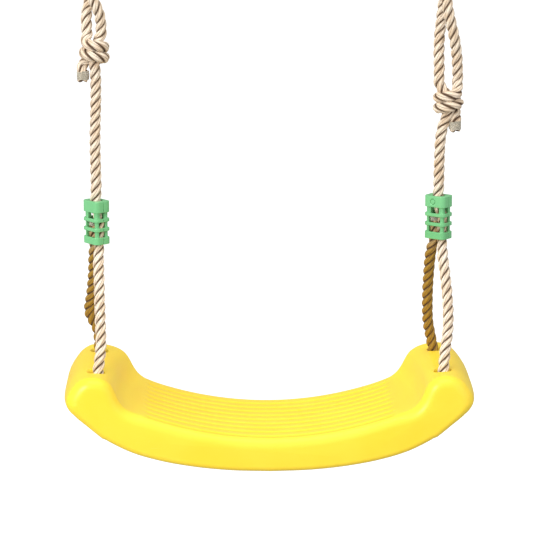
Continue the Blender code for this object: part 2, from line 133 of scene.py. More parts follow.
def length_of(points: np.ndarray) -> float:
    """The length of a line of points."""
    return float(np.linalg.norm(np.diff(points[:, :3], axis=0), axis=1).sum())


def directions(points: np.ndarray) -> np.ndarray:
    """The unit direction of a line at each of its points."""
    along = np.gradient(points, axis=0)
    return along / np.linalg.norm(along, axis=1)[:, None]


def carried_normals(points: np.ndarray) -> np.ndarray:
    """A unit normal at each point, carried along the line without twisting round it.

    Args:
        points: The line's points, one per row.

    Returns:
        The normals, one per row.
    """
    tangents = directions(points)
    start = np.cross(tangents[0], (0.0, 1.0, 0.0) if abs(tangents[0][1]) < 0.9 else (1.0, 0.0, 0.0))
    normals = [start / np.linalg.norm(start)]
    for tangent in tangents[1:]:
        flat = normals[-1] - tangent * normals[-1].dot(tangent)
        normals.append(flat / np.linalg.norm(flat))
    return np.array(normals)


def add_piece(name: str, mesh: bpy.types.Mesh, finish: bpy.types.Material | None = None) -> bpy.types.Object:
    """Link a mesh into the scene as a piece, with its finish.

    Args:
        name: The piece's name.
        mesh: Its mesh.
        finish: Its material, if the mesh hasn't one.

    Returns:
        The piece.
    """
    obj = bpy.data.objects.new(name, mesh)
    bpy.context.scene.collection.objects.link(obj)
    if finish:
        mesh.materials.clear()
        mesh.materials.append(finish)
    return obj


def skin(name: str, rings: list | np.ndarray) -> bpy.types.Mesh:
    """A closed mesh through rings of points, capped at both ends.

    Args:
        name: The mesh's name.
        rings: The points, shaped (rings, points in a ring, 3).

    Returns:
        The mesh, with its faces outwards.
    """
    rings = np.array(rings)
    count, sides = rings.shape[:2]
    index = np.arange(count * sides).reshape(count, sides)
    below, above = index[:-1], index[1:]
    quads = np.stack([below, np.roll(below, -1, 1), np.roll(above, -1, 1), above], axis=-1).reshape(-1, 4)
    faces = quads.tolist() + [index[0][::-1].tolist(), index[-1].tolist()]
    mesh = bpy.data.meshes.new(name)
    mesh.from_pydata(rings.reshape(-1, 3).tolist(), [], faces)
    outwards(mesh)
    return mesh


def outwards(mesh: bpy.types.Mesh, merge: float = 0.0) -> None:
    """Merge doubles if asked, and turn every face outwards.

    Args:
        mesh: The mesh to put right.
        merge: How near points are merged, or 0 for none.
    """
    bm = bmesh.new()
    bm.from_mesh(mesh)
    if merge:
        bmesh.ops.remove_doubles(bm, verts=bm.verts, dist=merge)
    bmesh.ops.recalc_face_normals(bm, faces=bm.faces)
    bm.to_mesh(mesh)
    bm.free()


def store(mesh: bpy.types.Mesh, **values: np.ndarray) -> None:
    """Keep numbers or vectors on a mesh's points, by attribute name."""
    for label, column in values.items():
        kind, part = ("FLOAT_VECTOR", "vector") if column.ndim == 2 else ("FLOAT", "value")
        mesh.attributes.new(label, kind, "POINT").data.foreach_set(part, column.astype(np.float32).ravel())


def settle(obj: bpy.types.Object) -> bpy.types.Object:
    """Apply an object's modifiers, so that it holds a plain mesh."""
    bpy.context.view_layer.update()
    graph = bpy.context.evaluated_depsgraph_get()
    shown = obj.evaluated_get(graph)
    mesh = bpy.data.meshes.new_from_object(shown, preserve_all_data_layers=True, depsgraph=graph)
    obj.modifiers.clear()
    obj.data = mesh
    mesh.name = obj.name
    return obj


def combine(obj: bpy.types.Object, others: list[bpy.types.Object], operation: str) -> None:
    """Cut shapes out of a piece, or join them on, then delete them.

    Args:
        obj: The piece.
        others: The shapes.
        operation: DIFFERENCE or UNION.
    """
    for other in others:
        modifier = obj.modifiers.new(other.name, "BOOLEAN")
        modifier.operation, modifier.solver, modifier.object = operation, "EXACT", other
    settle(obj)
    for other in others:
        bpy.data.objects.remove(other, do_unlink=True)


# ---------------------------------------------------------------- node trees


@dataclass
class Wiring:
    """Adds nodes to a tree and joins them as it goes."""

    tree: bpy.types.NodeTree

    def add(self, kind: str, inputs: dict | None = None, **settings: object) -> bpy.types.Node:
        """Add a node.

        Args:
            kind: The node's type name.
            inputs: Values, or sockets to join from, by input name or number.
            **settings: Properties to set before the inputs.

        Returns:
            The new node.
        """
        node = self.tree.nodes.new(kind)
        for name, value in settings.items():
            setattr(node, name, value)
        for place, value in (inputs or {}).items():
            self.join(value, node.inputs[place])
        return node

    def join(self, value: object, socket: bpy.types.NodeSocket) -> None:
        """Feed a socket from another socket, or set its value."""
        if isinstance(value, bpy.types.NodeSocket):
            self.tree.links.new(value, socket)
        else:
            socket.default_value = value

    def maths(self, operation: str, *values: object) -> bpy.types.NodeSocket:
        """A Math node's result."""
        return self.add("ShaderNodeMath", dict(enumerate(values)), operation=operation).outputs[0]

    def remap(
        self, value: object, low: float, high: float, to_low: float = 0.0, to_high: float = 1.0
    ) -> bpy.types.NodeSocket:
        """A value taken from one range to another, held at its ends, along a smooth step."""
        ends = {"Value": value, "From Min": low, "From Max": high, "To Min": to_low, "To Max": to_high}
        return self.add("ShaderNodeMapRange", ends, interpolation_type="SMOOTHSTEP").outputs["Result"]

    def blend(self, share: object, first: object, second: object) -> bpy.types.NodeSocket:
        """Two colours mixed by a share."""
        node = self.add("ShaderNodeMix", {0: share}, data_type="RGBA")
        for value, socket in ((first, node.inputs[6]), (second, node.inputs[7])):
            self.join((*value, 1.0) if isinstance(value, tuple) and len(value) == 3 else value, socket)
        return node.outputs[2]


def shader_group(name: str, inputs: dict[str, float], outputs: tuple) -> tuple[Wiring, dict, bpy.types.Node]:
    """Start a shader node group.

    Args:
        name: The group's name.
        inputs: Number inputs and their defaults.
        outputs: Names of its number outputs.

    Returns:
        The wiring, the group's input sockets by name, and its output node.
    """
    tree = bpy.data.node_groups.new(name, "ShaderNodeTree")
    for label, value in inputs.items():
        tree.interface.new_socket(label, in_out="INPUT", socket_type="NodeSocketFloat").default_value = value
    for label in outputs:
        tree.interface.new_socket(label, in_out="OUTPUT", socket_type="NodeSocketFloat")
    wiring = Wiring(tree)
    entry = wiring.add("NodeGroupInput")
    return wiring, {s.name: s for s in entry.outputs if s.name}, wiring.add("NodeGroupOutput")


def make_grain_group() -> bpy.types.NodeTree:
    """Fine skin: a soft orange-peel height, and slow patches of tone."""
    defaults = {"Scale": 900.0, "Patch Scale": 18.0}
    wiring, given, result = shader_group("moulded_grain", defaults, ("Height", "Tone"))
    place = wiring.add("ShaderNodeTexCoord").outputs["Object"]
    fine = wiring.add("ShaderNodeTexNoise", {"Vector": place, "Scale": given["Scale"], "Detail": 3.0})
    slow = wiring.add("ShaderNodeTexNoise", {"Vector": place, "Scale": given["Patch Scale"], "Detail": 2.0})
    wiring.join(fine.outputs[0], result.inputs["Height"])
    wiring.join(wiring.remap(slow.outputs[0], 0.3, 0.7), result.inputs["Tone"])
    return wiring.tree


def make_scuff_group() -> bpy.types.NodeTree:
    """Faint handling marks: thin scratches that cross in two directions, gathered in patches."""
    wiring, given, result = shader_group("scuffs", {"Scale": 60.0, "Amount": 0.5}, ("Mask",))
    place = wiring.add("ShaderNodeTexCoord").outputs["Object"]
    lines = []
    for turn in (0.5, -0.9):
        stretch = {"Vector": place, "Rotation": (0.3, turn, 1.3 * turn), "Scale": (1.0, 14.0, 14.0)}
        turned = wiring.add("ShaderNodeMapping", stretch).outputs[0]
        streak = wiring.add("ShaderNodeTexNoise", {"Vector": turned, "Scale": given["Scale"], "Detail": 2.0})
        lines.append(wiring.remap(streak.outputs[0], 0.66, 0.74))
    patch = wiring.add("ShaderNodeTexNoise", {"Vector": place, "Scale": 22.0, "Detail": 1.0}).outputs[0]
    marks = wiring.maths("MULTIPLY", wiring.maths("MAXIMUM", *lines), wiring.remap(patch, 0.45, 0.65))
    wiring.join(wiring.maths("MULTIPLY", marks, given["Amount"]), result.inputs["Mask"])
    return wiring.tree


def new_material(name: str) -> tuple[bpy.types.Material, Wiring, bpy.types.Node]:
    """A material with its wiring and its Principled shader."""
    material = bpy.data.materials.new(name)
    material.use_nodes = True
    return material, Wiring(material.node_tree), material.node_tree.nodes["Principled BSDF"]


@dataclass(frozen=True)
class MouldedPlastic:
    """Satin moulded plastic with a fine skin, slow tone patches and faint handling marks."""

    name: str
    colour: Colour
    deep: Colour
    scuffed: Colour
    roughness: float
    glow: float  # share of light that passes through the skin
    grain: float
    relief: float
    gloss: float
    # painted shade: the darker, more orange colour at the bottom of the pressed grooves
    groove_shade: Colour | None = None  # the colour at the bottom of the pressed grooves

    def material(self) -> bpy.types.Material:
        """Build the material."""
        material, wiring, shader = new_material(self.name)
        grain = wiring.add("ShaderNodeGroup", node_tree=bpy.data.node_groups["moulded_grain"])
        grain.inputs["Scale"].default_value = self.grain
        scuffs = wiring.add("ShaderNodeGroup", node_tree=bpy.data.node_groups["scuffs"])
        toned = wiring.blend(grain.outputs["Tone"], self.deep, self.colour)
        marked = wiring.blend(wiring.maths("MULTIPLY", scuffs.outputs["Mask"], 0.5), toned, self.scuffed)
        # painted shade in the groove bottoms, read from the pressed attribute
        if self.groove_shade:
            pressed = wiring.add("ShaderNodeAttribute", attribute_name="pressed").outputs["Fac"]
            marked = wiring.blend(pressed, marked, self.groove_shade)
        wiring.join(marked, shader.inputs["Base Color"])
        rough = wiring.maths("MULTIPLY_ADD", scuffs.outputs["Mask"], 0.3, self.roughness)
        matt = wiring.maths("MULTIPLY_ADD", grain.outputs["Tone"], 0.05, rough)
        wiring.join(matt, shader.inputs["Roughness"])
        bump = wiring.add("ShaderNodeBump", {"Height": grain.outputs["Height"], "Distance": self.relief})
        wiring.join(bump.outputs[0], shader.inputs["Normal"])
        shader.inputs["IOR"].default_value = 1.46
        shader.inputs["Specular IOR Level"].default_value = self.gloss
        shader.inputs["Subsurface Weight"].default_value = self.glow
        shader.inputs["Subsurface Radius"].default_value = (1.0, 0.6, 0.2)
        shader.inputs["Subsurface Scale"].default_value = 0.004
        return material


@dataclass(frozen=True)
class TwistedFibre:
    """Laid rope or wound twine: pale yarns, painted shade in the fine lines between yarns and in the creases,
    and a painted golden-brown shade where the rope is marked as shaded.
    """

    name: str
    pale: Colour
    tan: Colour
    crease_shade_and_fleck: Colour
    leg_shade_colour: Colour
    yarns: float

    def material(self) -> bpy.types.Material:
        """Build the material; it reads the attributes yarn_side, strand_depth and the rope's share of painted
        shade.
        """
        material, wiring, shader = new_material(self.name)
        place = wiring.add("ShaderNodeTexCoord").outputs["Object"]
        side = wiring.add("ShaderNodeAttribute", attribute_name="yarn_side").outputs["Vector"]
        depth = wiring.add("ShaderNodeAttribute", attribute_name="strand_depth").outputs["Fac"]
        weathered = wiring.add("ShaderNodeAttribute", attribute_name="weathered").outputs["Fac"]
        parts = wiring.add("ShaderNodeSeparateXYZ", {0: side}).outputs
        angle = wiring.maths("MULTIPLY", wiring.maths("ARCTAN2", parts[1], parts[0]), self.yarns)
        wave = wiring.maths("MULTIPLY_ADD", wiring.maths("SINE", angle), 0.5, 0.5)
        yarn = wiring.maths("POWER", wave, 0.5)
        fibre = wiring.add("ShaderNodeTexNoise", {"Vector": place, "Scale": 1500.0, "Detail": 4.0}).outputs[0]
        patch = wiring.add("ShaderNodeTexNoise", {"Vector": place, "Scale": 90.0, "Detail": 2.0}).outputs[0]
        ground = wiring.blend(wiring.remap(patch, 0.35, 0.65), self.tan, self.pale)
        # painted shade: the rope turns a shaded golden brown as far as its shade share asks, most of all on
        # the rear leg
        leg_shaded = wiring.blend(weathered, ground, self.leg_shade_colour)
        # painted shade: darker lines between the yarns
        yarn_line_shaded = wiring.blend(wiring.remap(yarn, 0.0, 0.6, 0.55, 0.0), leg_shaded, self.crease_shade_and_fleck)
        # dark flecks of fibre, the rope's own colour
        flecked = wiring.blend(wiring.remap(fibre, 0.3, 0.5, 0.2, 0.0), yarn_line_shaded, self.crease_shade_and_fleck)
        # painted shade: darkened creases between the strands, where the surface lies deep in the rope
        crease_shaded = wiring.blend(wiring.remap(depth, 0.76, 0.965, 0.97, 0.0), flecked, self.crease_shade_and_fleck)
        wiring.join(crease_shaded, shader.inputs["Base Color"])
        height = wiring.maths("MULTIPLY_ADD", fibre, 0.5, yarn)
        bump = wiring.add("ShaderNodeBump", {"Height": height, "Distance": 0.0005, "Strength": 0.8})
        wiring.join(bump.outputs[0], shader.inputs["Normal"])
        wiring.join(wiring.remap(yarn, 0.0, 1.0, 0.95, 0.78), shader.inputs["Roughness"])
        shader.inputs["Sheen Weight"].default_value = 0.06
        shader.inputs["Sheen Roughness"].default_value = 0.5
        return material


@dataclass(frozen=True)
class Zinc:
    """Galvanised steel: pale spangles, a slightly cloudy gloss and fine rubbed marks in scattered patches."""

    name: str
    bright: Colour
    dull: Colour

    def material(self) -> bpy.types.Material:
        """Build the material."""
        material, wiring, shader = new_material(self.name)
        place = wiring.add("ShaderNodeTexCoord").outputs["Object"]
        spangle = wiring.add("ShaderNodeTexVoronoi", {"Vector": place, "Scale": 260.0}).outputs["Color"]
        shade = wiring.add("ShaderNodeSeparateColor", {0: spangle}).outputs[0]
        scuffs = wiring.add("ShaderNodeGroup", node_tree=bpy.data.node_groups["scuffs"])
        scuffs.inputs["Scale"].default_value = 160.0
        wiring.join(wiring.blend(shade, self.dull, self.bright), shader.inputs["Base Color"])
        rough = wiring.maths("MULTIPLY_ADD", shade, 0.14, 0.3)
        matt = wiring.maths("MULTIPLY_ADD", scuffs.outputs["Mask"], 0.2, rough)
        wiring.join(matt, shader.inputs["Roughness"])
        grain = wiring.add("ShaderNodeGroup", node_tree=bpy.data.node_groups["moulded_grain"])
        bump = wiring.add("ShaderNodeBump", {"Height": grain.outputs["Height"], "Distance": 0.00003})
        wiring.join(bump.outputs[0], shader.inputs["Normal"])
        shader.inputs["Metallic"].default_value = 1.0
        return material


@dataclass
class Finishes:
    """Every finish, made once."""

    seat: bpy.types.Material = field(init=False)
    clamp: bpy.types.Material = field(init=False)
    steel: bpy.types.Material = field(init=False)
    rope: bpy.types.Material = field(init=False)
    twine: bpy.types.Material = field(init=False)

    def __post_init__(self) -> None:
        """Build the shared groups, then each material."""
        make_grain_group()
        make_scuff_group()
        self.seat = MouldedPlastic(
            "yellow_seat", colour=(1.0, 0.725, 0.045), deep=(1.0, 0.70, 0.036), scuffed=(1.0, 0.8, 0.2),
            roughness=0.34, glow=0.1, grain=700.0, relief=0.00003, gloss=0.5, groove_shade=(0.98, 0.62, 0.02),
        ).material()
        self.clamp = MouldedPlastic(
            "green_clamp", colour=(0.19, 0.55, 0.24), deep=(0.16, 0.49, 0.2), scuffed=(0.4, 0.75, 0.45),
            roughness=0.27, glow=0.0, grain=1400.0, relief=0.00002, gloss=0.6,
        ).material()
        self.steel = Zinc("galvanised_ring", bright=(0.74, 0.75, 0.76), dull=(0.55, 0.56, 0.58)).material()
        self.rope = TwistedFibre(
            "laid_rope", pale=(0.97, 0.84, 0.68), tan=(0.84, 0.66, 0.48), crease_shade_and_fleck=(0.12, 0.06, 0.025),
            leg_shade_colour=(0.39, 0.22, 0.02), yarns=5.0,
        ).material()
        self.twine = TwistedFibre(
            "whipping_twine", pale=(0.85, 0.8, 0.68), tan=(0.72, 0.66, 0.52), crease_shade_and_fleck=(0.3, 0.22, 0.12),
            leg_shade_colour=(0.6, 0.45, 0.25), yarns=4.0,
        ).material()


# ---------------------------------------------------------------- geometry node trees


@dataclass
class GeometryTree:
    """A Geometry Nodes tree with named inputs, applied to one object at a time."""

    name: str
    inputs: dict[str, tuple[str, object]]
    tree: bpy.types.NodeTree = field(init=False)
    wiring: Wiring = field(init=False)
    given: dict = field(init=False)

    def __post_init__(self) -> None:
        """Make the tree, its interface and its ends."""
        self.tree = bpy.data.node_groups.new(self.name, "GeometryNodeTree")
        self.tree.interface.new_socket("Geometry", in_out="INPUT", socket_type="NodeSocketGeometry")
        for label, (kind, value) in self.inputs.items():
            socket = self.tree.interface.new_socket(label, in_out="INPUT", socket_type=kind)
            if value is not None:
                socket.default_value = value
        self.tree.interface.new_socket("Geometry", in_out="OUTPUT", socket_type="NodeSocketGeometry")
        self.wiring = Wiring(self.tree)
        self.given = {s.name: s for s in self.wiring.add("NodeGroupInput").outputs if s.name}

    def close(self, geometry: bpy.types.NodeSocket) -> None:
        """End the tree in Realize Instances and Set Material."""
        real = self.wiring.add("GeometryNodeRealizeInstances", {0: geometry}).outputs[0]
        paint = {"Geometry": real, "Material": self.given["Material"]}
        painted = self.wiring.add("GeometryNodeSetMaterial", paint)
        self.wiring.join(painted.outputs[0], self.wiring.add("NodeGroupOutput").inputs[0])

    def grow(self, obj: bpy.types.Object, values: dict[str, object]) -> bpy.types.Object:
        """Run the tree on an object and keep the plain mesh.

        Args:
            obj: The object that the tree starts from.
            values: The inputs' values by name; the rest keep their defaults.

        Returns:
            The same object, with its mesh replaced and no modifier left.
        """
        modifier = obj.modifiers.new(self.name, "NODES")
        modifier.node_group = self.tree
        sockets = {i.name: i.identifier for i in self.tree.interface.items_tree if i.in_out == "INPUT"}
        for label, value in values.items():
            modifier[sockets[label]] = value
        return settle(obj)


MATERIAL_INPUT = ("NodeSocketMaterial", None)


def number(value: float) -> tuple[str, float]:
    """A number input and its default."""
    return ("NodeSocketFloat", float(value))


def tube(wiring: Wiring, line: object, sides: int, radius: object, settings: dict) -> bpy.types.NodeSocket:
    """A smooth round tube along a curve.

    Args:
        wiring: The tree that it is in.
        line: The curve's socket.
        sides: Sides of its section.
        radius: Its radius, or the socket that gives it.
        settings: More inputs of its Curve to Mesh node, by name.

    Returns:
        The tube's socket.
    """
    section = wiring.add("GeometryNodeCurvePrimitiveCircle", {"Resolution": sides, "Radius": radius})
    curves = {"Curve": line, "Profile Curve": section.outputs[0]}
    skinned = wiring.add("GeometryNodeCurveToMesh", {**curves, **settings})
    smooth = {"Geometry": skinned.outputs[0], "Shade Smooth": True}
    return wiring.add("GeometryNodeSetShadeSmooth", smooth).outputs[0]


def make_groove_tree() -> GeometryTree:
    """Parallel grooves pressed into the upward faces of a mesh, fading out towards both ends."""
    tree = GeometryTree("pressed_grooves", {
        "Pitch": number(16 * MM), "First Y": number(57 * MM), "Count": number(9),
        "Half Width": number(4.2 * MM), "Depth": number(1.5 * MM), "End X": number(127 * MM),
        "Fade": number(7 * MM), "Material": MATERIAL_INPUT,
    })
    wiring, given = tree.wiring, tree.given
    position = wiring.add("GeometryNodeInputPosition").outputs[0]
    place = wiring.add("ShaderNodeSeparateXYZ", {0: position}).outputs
    normal = wiring.add("GeometryNodeInputNormal").outputs[0]
    upward = wiring.add("ShaderNodeSeparateXYZ", {0: normal}).outputs[2]
    steps = wiring.maths("DIVIDE", wiring.maths("SUBTRACT", given["First Y"], place[1]), given["Pitch"])
    last = wiring.maths("SUBTRACT", given["Count"], 1.0)
    nearest = wiring.maths("MINIMUM", wiring.maths("MAXIMUM", wiring.maths("ROUND", steps), 0.0), last)
    off_line = wiring.maths("ABSOLUTE", wiring.maths("SUBTRACT", steps, nearest))
    away = wiring.maths("MULTIPLY", off_line, given["Pitch"])
    share = wiring.remap(wiring.maths("DIVIDE", away, given["Half Width"]), 0.0, 1.0, 1.0, 0.0)
    inside = wiring.maths("SUBTRACT", given["End X"], wiring.maths("ABSOLUTE", place[0]))
    fade = wiring.remap(wiring.maths("DIVIDE", inside, given["Fade"]), 0.0, 1.0)
    pressed = wiring.maths("MULTIPLY", wiring.maths("MULTIPLY", share, fade), given["Depth"])
    top_only = wiring.maths("MULTIPLY", pressed, wiring.maths("GREATER_THAN", upward, 0.6))
    down = wiring.maths("MULTIPLY", top_only, -1.0)
    offset = wiring.add("ShaderNodeVectorMath", {0: normal, "Scale": down}, operation="SCALE").outputs[0]
    # the groove's share, which the seat's finish uses to paint shade in the groove bottoms
    shade = wiring.maths("DIVIDE", top_only, given["Depth"])
    named = {"Geometry": given["Geometry"], "Name": "pressed", "Value": shade}
    kept = wiring.add("GeometryNodeStoreNamedAttribute", named)
    moved = wiring.add("GeometryNodeSetPosition", {"Geometry": kept.outputs[0], "Offset": offset})
    tree.close(moved.outputs[0])
    return tree


def make_whipping_tree() -> GeometryTree:
    """Twine wound tightly round an upright rope end."""
    tree = GeometryTree("wound_twine", {
        "Turns": number(8), "Radius": number(6 * MM), "Length": number(8 * MM), "Twine": number(0.5 * MM),
        "Material": MATERIAL_INPUT,
    })
    wiring, given = tree.wiring, tree.given
    coil = {"Resolution": 40, "Rotations": given["Turns"], "Height": given["Length"]}
    coil |= {"Start Radius": given["Radius"], "End Radius": given["Radius"]}
    wound = wiring.add("GeometryNodeCurveSpiral", coil).outputs[0]
    tree.close(tube(wiring, wound, 10, given["Twine"], {"Fill Caps": True}))
    return tree


def make_ring_tree() -> GeometryTree:
    """A ring bent from round bar, with a low weld bead at one place."""
    tree = GeometryTree("welded_ring", {
        "Radius": number(26 * MM), "Bar": number(4 * MM), "Bead": number(0.09), "Bead Width": number(0.012),
        "Material": MATERIAL_INPUT,
    })
    wiring, given = tree.wiring, tree.given
    circle = wiring.add("GeometryNodeCurvePrimitiveCircle", {"Resolution": 128, "Radius": given["Radius"]})
    share = wiring.add("GeometryNodeSplineParameter").outputs["Factor"]
    from_weld = wiring.maths("ABSOLUTE", wiring.maths("SUBTRACT", share, 0.5))
    away = wiring.maths("DIVIDE", from_weld, given["Bead Width"])
    swell = wiring.maths("MULTIPLY_ADD", wiring.remap(away, 0.0, 1.0, 1.0, 0.0), given["Bead"], 1.0)
    tree.close(tube(wiring, circle.outputs[0], 28, given["Bar"], {"Scale": swell}))
    return tree


# ---------------------------------------------------------------- seat


@dataclass
class Seat:
    """The hollow moulded seat: a curved ribbed middle, two raised lobes and four rope tunnels."""

    half_depth: float = 82 * MM
    arc_radius: float = 350 * MM
    arc_half_width: float = 124 * MM
    thickness: float = 35 * MM
    top_edge: float = 11 * MM  # radii of the front and rear edges
    bottom_edge: float = 6 * MM
    edge_line: float = -12 * MM  # the radius changes at this height, which rises towards the lobes
    edge_rise: float = 30 * MM
    edge_over: float = 14 * MM
    arc_step: float = 4 * MM  # spacing of the points and rows
    outline_step: float = 2.5 * MM
    row_gap: float = 1.5 * MM
    rows_between: int = 140
    edge_steps: int = 8
    wall_x: float = 145 * MM  # the lobes' inner walls
    wall_reach: float = 18 * MM
    splay: float = 6 * MM
    scoop_x: float = 143 * MM
    scoop_reach: float = 11 * MM
    scoop_ends: float = 0.86  # as a share of the half depth
    scoop: float = 5.5 * MM
    end_x: float = 165 * MM  # the ends bow outwards from here on
    end_reach: float = 40 * MM
    end_bow: float = 5 * MM
    sharp_angle: float = 38
    hole_sides: int = 48
    # Radius and height of the holes' cutters, from the foot up, in millimetres
    mouth: tuple = ((8, -60), (8, 56), (8.2, 58), (8.8, 59.6), (10, 61), (12, 62.3), (15, 63.6))
    drain: tuple = ((1.6, -50), (1.6, -20))
    trough_half_width: float = 7.2 * MM
    trough_roof: float = 21.5 * MM
    trough_half_length: float = 53 * MM
    trough_foot: float = -55 * MM
    trough_points: int = 13
    # (x, z) of the outline from the lobe's foot over its top and round to the underside, in millimetres
    profile: tuple = (
        (133, 25.2), (140.5, 30), (146, 37.5), (149.5, 45), (153.5, 52), (159.5, 57.2), (168, 60.6),
        (178, 61.8), (187.5, 60.4), (196, 55.5), (202.2, 48.2), (206, 41), (207, 35), (204.4, 28.8),
        (197.5, 22), (183.5, 11.6), (164.5, -1.4), (139.5, -14.4), (109, -23.8), (81, -29.2), (41.5, -33.6),
    )

    def outline(self) -> np.ndarray:
        """The outline seen from the front, as (x, z) above the seat's middle, from the middle of the top."""
        x = np.arange(0, self.arc_half_width, self.arc_step)
        arc = np.stack([x, x * x / (2 * self.arc_radius), 0 * x], axis=1)
        end = self.arc_half_width
        keys = [(end, end * end / (2 * self.arc_radius), 0)]
        keys += [(x * MM, z * MM, 0) for x, z in self.profile] + [(0, -self.thickness, 0)]
        round_end = smooth_line(np.array(keys), self.outline_step)
        right = np.vstack([arc, round_end])[:, :2]
        left = right[1:-1][::-1] * (-1, 1)
        return np.vstack([right, left])

    def rows(self) -> list[tuple[float | None, int, float]]:
        """The rows from rear to front: a row's y, or None on an edge; the edge's side; its turn, 0 to 1."""
        turns = [k / self.edge_steps for k in range(self.edge_steps + 1)]
        flat = self.half_depth - self.top_edge - self.row_gap
        between = [(y, 0, 1.0) for y in np.linspace(flat, -flat, self.rows_between)]
        return [(None, 1, t) for t in turns] + between + [(None, -1, t) for t in reversed(turns)]

    def edge(self, x: float, z: float) -> float:
        """Radius of the front and rear edges at a place on the outline: large above, small below."""
        line = self.edge_line + (x / HOLE_X) ** 2 * self.edge_rise
        share = eased((z - line) / self.edge_over + 0.5)
        return self.bottom_edge + (self.top_edge - self.bottom_edge) * share

    def plan_shift(self, x: float, y: float) -> float:
        """Sideways shift of a point: the lobes' walls spread forwards and are scooped, the ends bow out.

        Args:
            x: The point's place to the right.
            y: Its place to the rear.

        Returns:
            How far it moves to the right.
        """
        wall = math.exp(-(((abs(x) - self.wall_x) / self.wall_reach) ** 2))
        across = y / self.half_depth
        hollow = self.scoop * max(0.0, 1 - (across / self.scoop_ends) ** 2)
        hollow *= math.exp(-(((abs(x) - self.scoop_x) / self.scoop_reach) ** 2))
        bow = self.end_bow * across**4 * eased((abs(x) - self.end_x) / self.end_reach)
        return (1 if x > 0 else -1) * (hollow - self.splay * wall * across - bow)

    def body(self) -> bpy.types.Mesh:
        """The outer form, closed, with no holes yet."""
        points = self.outline()
        along = np.roll(points, -1, 0) - np.roll(points, 1, 0)
        along /= np.linalg.norm(along, axis=1)[:, None]
        inward = np.stack([along[:, 1], -along[:, 0]], axis=1)
        radii = [self.edge(*point) for point in points]
        rings = []
        for row_y, side, turn in self.rows():
            angle = turn * math.pi / 2
            ring = []
            for (x, z), (nx, nz), radius in zip(points, inward, radii):
                depth = radius * (1 - math.sin(angle)) if side else 0.0
                y = side * (self.half_depth - radius * (1 - math.cos(angle))) if side else row_y
                shift = self.plan_shift(x, y) if (nz < 0.3 or abs(x) > self.end_x) else 0.0
                ring.append((x + nx * depth + shift, y, z + nz * depth + SEAT_Z))
            rings.append(ring)
        return skin("seat_moulding", rings)

    def shaft(self, name: str, x: float, y: float, reach: tuple) -> bpy.types.Object:
        """An upright round cutter.

        Args:
            name: The cutter's name.
            x: Where its axis stands, to the right.
            y: Where its axis stands, to the rear.
            reach: Radius and height above the seat's middle, in millimetres, from its foot up.

        Returns:
            The cutter.
        """
        angles = np.linspace(0, 2 * math.pi, self.hole_sides, endpoint=False)
        east, north, level = np.cos(angles), np.sin(angles), 0 * angles
        rings = []
        for r, z in reach:
            ring = (x + r * MM * east, y + r * MM * north, level + SEAT_Z + z * MM)
            rings.append(np.stack(ring, axis=1))
        return add_piece(name, skin(name, rings))

    def tunnels(self) -> list[bpy.types.Object]:
        """The cutters of the rope tunnels with soft mouths, of the troughs and of the drain hole."""
        corners = itertools.product((-HOLE_X, HOLE_X), (-HOLE_Y, HOLE_Y))
        cutters = [self.shaft(f"tunnel_cutter_{k}", x, y, self.mouth) for k, (x, y) in enumerate(corners)]
        cutters.append(self.shaft("drain_cutter", 0, 0, self.drain))
        arch = np.linspace(0, math.pi, self.trough_points)
        half, roof, foot = self.trough_half_width, self.trough_roof, self.trough_foot
        section = [(half, foot)] + [(half * math.cos(a), roof - half + half * math.sin(a)) for a in arch]
        section.append((-half, foot))
        ends = (-self.trough_half_length, self.trough_half_length)
        for side in (-1, 1):
            rings = [[(side * HOLE_X + x, y, SEAT_Z + z) for x, z in section] for y in ends]
            cutters.append(add_piece(f"trough_cutter_{side + 1}", skin("trough", rings)))
        return cutters

    def build(self, finishes: Finishes, grooves: GeometryTree) -> None:
        """Build the seat and hand it to its body.

        Args:
            finishes: The swing's finishes.
            grooves: The tree that presses the grooves.
        """
        seat = add_piece("moulded_seat", self.body(), finishes.seat)
        grooves.grow(seat, {"Material": finishes.seat})
        combine(seat, self.tunnels(), "DIFFERENCE")
        seat.data.materials.clear()
        seat.data.materials.append(finishes.seat)
        seat.data.shade_smooth()
        seat.data.set_sharp_from_angle(angle=math.radians(self.sharp_angle))
        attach(seat, Body.SEAT.value)
        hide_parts("seat_shell")
        log.info("seat: %d faces", len(seat.data.polygons))


# ---------------------------------------------------------------- ropes, clamps and rings of one side


@dataclass(frozen=True)
class SideSizes:
    """What differs between the two sides, in millimetres: places, turns and the route that the rope takes."""

    name: str
    outer: int  # the way outwards along X
    ring_x: float
    clamp: tuple  # middle of the clamp's top face
    turn: float  # the clamp's turn about the upright, in degrees
    front_is: int  # the end of the clamp that the front leg enters
    knot: tuple  # middle of the knot
    knot_leg: float  # how far each leg stands from the knot's middle
    lean: tuple  # sideways lean of the front and the rear leg in their holes
    upper: tuple  # (x, z) from ring to clamp
    front: tuple  # (x, y, z) from clamp to hole
    rear: tuple


LEFT = SideSizes(
    "left", outer=-1, ring_x=-176, clamp=(-174, 0, -262), turn=128, front_is=-1,
    knot=(-174, 0, -114), knot_leg=7, lean=(1.2, -0.8),
    upper=((-173, 0), (-173, -150), (-174.5, -200)),
    front=((-172, -8, -320), (-171.4, -17, -345), (-170.4, -28, -378), (-169.6, -37.5, -404)),
    rear=((-177.4, 7, -318), (-178.6, 15, -340), (-181.2, 25, -364), (-184, 34, -385), (-176, 41, -406)),
)
RIGHT = SideSizes(
    "right", outer=1, ring_x=176, clamp=(172, 0, -258), turn=-38, front_is=1,
    knot=(180.5, 0, -165.5), knot_leg=9, lean=(1.2, -1.8),
    upper=((174.8, 0), (173.2, -200), (172.2, -225)),
    front=((176, -8, -316), (178.4, -16, -338), (180.6, -25, -364), (180.4, -34, -390), (177, -42, -412)),
    rear=((165.6, 8, -316), (164, 17, -342), (163.8, 27, -372), (165.6, 37, -400), (169, 43, -416)),
)


